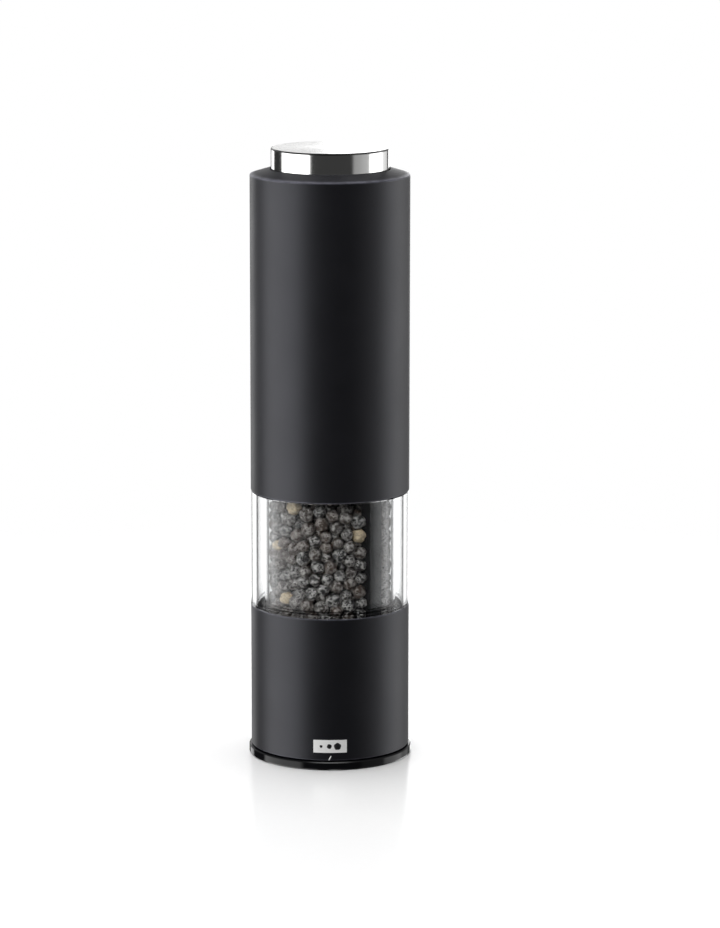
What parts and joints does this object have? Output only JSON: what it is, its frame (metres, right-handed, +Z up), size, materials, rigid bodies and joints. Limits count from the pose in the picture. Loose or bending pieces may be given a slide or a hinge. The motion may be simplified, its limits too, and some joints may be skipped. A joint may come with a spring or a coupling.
{
  "type": "pepper mill",
  "caption": "Slim battery-driven pepper mill: matt sleeves above and below a clear hopper band, steel press-top switch, ceramic burr with a grind adjuster and a pull-off base lid.",
  "frame": {"origin": "centre of the lid's foot, on the surface the mill stands on", "axes": "+Z up the mill's axis towards the press-top, -Y out of the face that carries the badge, +X to the right seen from the front"},
  "size_m": [0.0576, 0.0576, 0.2161],
  "materials": {
    "soft_black": "soft-touch matte",
    "clear": "clear moulded, polished",
    "seal_rubber": "matte",
    "frame_black": "fine moulded",
    "ceramic": "fired ceramic, satin",
    "brass": "turned",
    "duct_black": "satin",
    "lead_red": "insulated wire",
    "lead_yellow": "insulated wire",
    "board_green": "lacquered",
    "gold_contact": "plated",
    "steel": "bright",
    "print_white": "printed",
    "gloss_black": "high gloss",
    "shaft_steel": "drawn bar",
    "nylon": "natural moulded",
    "knob_white": "satin",
    "can_steel": "plated, satin",
    "ferrite": "sintered",
    "cell_jacket": "printed film",
    "switch_grey": "moulded",
    "switch_red": "moulded",
    "spun_steel": "spun, polished"
  },
  "bodies": {
    "base": {"base_sleeve": "soft_black", "window_tube": "clear", "window_seal": "seal_rubber", "hopper": "clear", "funnel": "frame_black", "grinder_carrier": "frame_black", "burr_ring": "ceramic", "shaft_bush": "brass", "wire_duct": "duct_black", "lamp_leads": "lead_red", "lamp_board": "board_green", "lamp_led": "clear", "lamp_lens": "clear", "contact_pads": "gold_contact", "base_screws": "steel", "badge": "print_white"},
    "lid": {"base_lid": "gloss_black", "lid_spigot": "frame_black"},
    "shaft": {"drive_shaft": "shaft_steel", "shaft_clip": "steel", "thrust_washer": "nylon", "burr_spring": "steel"},
    "cone": {"burr_cone": "ceramic"},
    "knob": {"adjuster_knob": "knob_white", "adjuster_insert": "brass"},
    "power_unit": {"unit_chassis": "frame_black", "chassis_seal": "seal_rubber", "ring_gear": "nylon", "gearbox_plate": "nylon", "gearbox_screws": "steel", "motor_can": "can_steel", "motor_end_cap": "switch_grey", "motor_magnets": "ferrite", "motor_leads": "lead_red", "lamp_feed_leads": "lead_yellow", "contact_pins": "gold_contact", "battery_plate_lower": "frame_black", "battery_spine": "frame_black", "battery_plate_upper": "frame_black", "battery_cells": "cell_jacket", "battery_springs": "steel", "battery_contacts": "gold_contact", "battery_screws": "steel", "switch_body": "switch_grey"},
    "plunger": {"switch_plunger": "switch_red"},
    "motor_rotor": {"motor_armature": "can_steel", "sun_pinion": "brass"},
    "stage_one": {"stage_one_carrier": "nylon"},
    "planet_one_a": {"stage_one_planet_a": "nylon"},
    "planet_one_b": {"stage_one_planet_b": "nylon"},
    "planet_one_c": {"stage_one_planet_c": "nylon"},
    "output": {"output_carrier": "nylon"},
    "planet_two_a": {"stage_two_planet_a": "nylon"},
    "planet_two_b": {"stage_two_planet_b": "nylon"},
    "planet_two_c": {"stage_two_planet_c": "nylon"},
    "sleeve": {"sleeve_shell": "soft_black", "sleeve_liner": "frame_black"},
    "button": {"button_cap": "spun_steel", "button_core": "frame_black", "button_spring": "steel"}
  },
  "joints": [
    {"name": "lid_pull", "type": "slide", "parent": "base", "child": "lid", "axis": [0, 0, -1], "range_m": [0, 0.03]},
    {"name": "motor_spin", "type": "hinge", "parent": "power_unit", "child": "motor_rotor", "pos_m": [0, 0, 0.12], "axis": [0, 0, 1], "continuous": true},
    {"name": "stage_one_spin", "type": "hinge", "parent": "power_unit", "child": "stage_one", "pos_m": [0, 0, 0.105], "axis": [0, 0, 1], "continuous": true},
    {"name": "output_spin", "type": "hinge", "parent": "power_unit", "child": "output", "pos_m": [0, 0, 0.099], "axis": [0, 0, 1], "continuous": true},
    {"name": "drive_spin", "type": "hinge", "parent": "base", "child": "shaft", "pos_m": [0, 0, 0.032], "axis": [0, 0, 1], "continuous": true},
    {"name": "knob_turn", "type": "hinge", "parent": "cone", "child": "knob", "pos_m": [0, 0, 0.009], "axis": [0, 0, 1], "range_deg": [-360, 180]},
    {"name": "cone_lift", "type": "slide", "parent": "shaft", "child": "cone", "axis": [0, 0, 1], "range_m": [-0.0008, 0.0004], "deforming": ["burr_spring"]},
    {"name": "unit_lift", "type": "slide", "parent": "base", "child": "power_unit", "axis": [0, 0, 1], "range_m": [0, 0.05]},
    {"name": "sleeve_lift", "type": "slide", "parent": "power_unit", "child": "sleeve", "axis": [0, 0, 1], "range_m": [0, 0.12]},
    {"name": "button_press", "type": "slide", "parent": "sleeve", "child": "button", "axis": [0, 0, -1], "range_m": [0, 0.002], "stiffness_N_per_m": 1500, "springref_m": -0.001, "deforming": ["button_spring"]},
    {"name": "plunger_press", "type": "slide", "parent": "power_unit", "child": "plunger", "axis": [0, 0, -1], "range_m": [0, 0.002]},
    {"name": "planet_one_a_spin", "type": "hinge", "parent": "stage_one", "child": "planet_one_a", "pos_m": [0.0081, 0, 0.1094], "axis": [0, 0, 1], "continuous": true},
    {"name": "planet_two_a_spin", "type": "hinge", "parent": "output", "child": "planet_two_a", "pos_m": [0.0081, 0, 0.1032], "axis": [0, 0, 1], "continuous": true},
    {"name": "planet_one_b_spin", "type": "hinge", "parent": "stage_one", "child": "planet_one_b", "pos_m": [-0.00405, 0.00701, 0.1094], "axis": [0, 0, 1], "continuous": true},
    {"name": "planet_two_b_spin", "type": "hinge", "parent": "output", "child": "planet_two_b", "pos_m": [-0.00405, 0.00701, 0.1032], "axis": [0, 0, 1], "continuous": true},
    {"name": "planet_one_c_spin", "type": "hinge", "parent": "stage_one", "child": "planet_one_c", "pos_m": [-0.00405, -0.00701, 0.1094], "axis": [0, 0, 1], "continuous": true},
    {"name": "planet_two_c_spin", "type": "hinge", "parent": "output", "child": "planet_two_c", "pos_m": [-0.00405, -0.00701, 0.1032], "axis": [0, 0, 1], "continuous": true}
  ],
  "couplings": [
    {"joint": "stage_one_spin", "follows": "motor_spin", "ratio": 0.16667},
    {"joint": "output_spin", "follows": "motor_spin", "ratio": 0.027778},
    {"joint": "drive_spin", "follows": "motor_spin", "ratio": 0.027778},
    {"joint": "knob_turn", "follows": "cone_lift", "rad_per_m": 7854},
    {"joint": "plunger_press", "follows": "button_press", "ratio": 1},
    {"joint": "planet_one_a_spin", "follows": "motor_spin", "ratio": -0.41667},
    {"joint": "planet_two_a_spin", "follows": "motor_spin", "ratio": -0.069444},
    {"joint": "planet_one_b_spin", "follows": "motor_spin", "ratio": -0.41667},
    {"joint": "planet_two_b_spin", "follows": "motor_spin", "ratio": -0.069444},
    {"joint": "planet_one_c_spin", "follows": "motor_spin", "ratio": -0.41667},
    {"joint": "planet_two_c_spin", "follows": "motor_spin", "ratio": -0.069444}
  ]
}
